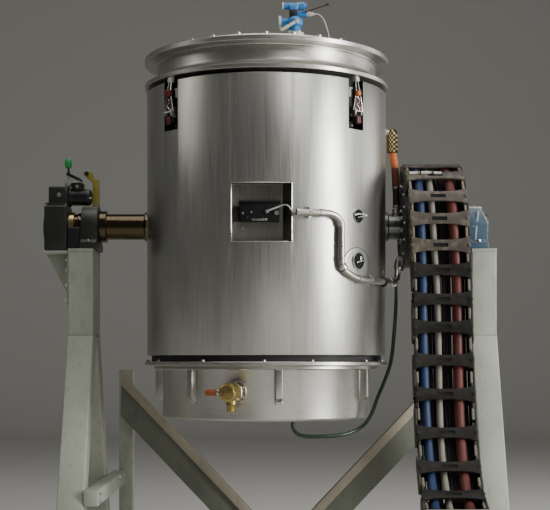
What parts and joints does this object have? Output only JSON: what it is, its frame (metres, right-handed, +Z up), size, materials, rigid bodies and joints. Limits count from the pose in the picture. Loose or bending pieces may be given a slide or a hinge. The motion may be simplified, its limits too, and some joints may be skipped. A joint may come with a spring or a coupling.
{
  "type": "tilting reactor vessel on trunnion pedestals",
  "caption": "Insulated round process vessel with a clamped lid, hung on trunnions between pedestals and tilted by a drive, with an energy chain on one trunnion.",
  "frame": {"origin": "on the floor, under the middle of the whole machine seen from above", "axes": "+X along the trunnion axis towards the energy chain, +Y towards the back, +Z up"},
  "size_m": [2.989, 2.33, 3.918],
  "materials": {
    "bearing_paint": "dark blue-grey machine paint, satin",
    "black_paint": "black, satin",
    "blue_paint": "bright blue enamel",
    "braid": "steel braid over hose, orange sleeve below",
    "brass": "brass, dulled",
    "cable": "dark green sheath, satin",
    "chain_plastic": "black-brown moulded chain links, dusty",
    "cladding": "brushed stainless sheet, vertical grain, a little worn",
    "clamp_steel": "bright steel with red grips",
    "flange_steel": "machined and brushed stainless, satin",
    "frame_paint": "light grey machine paint, satin, scuffed",
    "gasket": "dark, matt",
    "grip_red": "orange-red moulded grip",
    "hose_blue": "blue hose, satin",
    "hose_red": "dark red hose, satin",
    "hose_white": "off-white hose, satin",
    "machined_steel": "turned bright steel",
    "olive_paint": "yellow-olive paint, satin"
  },
  "bodies": {
    "root": {"brace_foot": "frame_paint", "chain_hose_blue": "hose_blue", "chain_hose_red": "hose_red", "chain_hose_white": "hose_white", "chain_stand": "frame_paint", "drive_bracket": "frame_paint", "energy_chain_run": "chain_plastic", "energy_chain_wrap": "chain_plastic", "left_bearing": "bearing_paint", "left_brace": "frame_paint", "left_front_leg": "frame_paint", "left_pedestal_head": "frame_paint", "left_rear_leg": "frame_paint", "left_rear_post": "frame_paint", "left_side_rail": "frame_paint", "right_bearing": "bearing_paint", "right_brace": "frame_paint", "right_front_leg": "frame_paint", "right_pedestal_head": "frame_paint", "right_rear_leg": "frame_paint", "right_rear_post": "frame_paint", "right_side_rail": "frame_paint", "sensor_bracket": "olive_paint", "tilt_gearbox": "bearing_paint", "tilt_motor": "black_paint"},
    "vessel": {"air_hose": "hose_white", "bottom_ring": "flange_steel", "chain_drum": "black_paint", "clamp_front_left": "clamp_steel", "clamp_front_right": "clamp_steel", "clamp_rear_left": "clamp_steel", "clamp_rear_right": "clamp_steel", "conduit": "machined_steel", "drain_lever": "grip_red", "drain_valve": "brass", "drum_bracket_1": "flange_steel", "drum_bracket_2": "flange_steel", "drum_bracket_3": "flange_steel", "drum_bracket_4": "flange_steel", "drum_bracket_5": "flange_steel", "drum_bracket_6": "flange_steel", "drum_bracket_7": "flange_steel", "drum_cable": "cable", "floor_plate": "gasket", "instrument_box": "black_paint", "jacket": "cladding", "left_trunnion": "machined_steel", "lid_collar": "flange_steel", "lid_gasket": "gasket", "lid_head": "flange_steel", "lower_drum": "flange_steel", "lower_port": "machined_steel", "right_trunnion": "machined_steel", "sensor_lead": "cable", "steam_hose": "braid", "upper_port": "machined_steel", "valve_actuator": "blue_paint", "vent_valve": "blue_paint"}
  },
  "joints": [
    {"name": "vessel_tilt", "type": "hinge", "parent": "root", "child": "vessel", "pos_m": [-0.0385, 0.125, 2.43], "axis": [1, 0, 0], "range_deg": [-90, 90]}
  ]
}
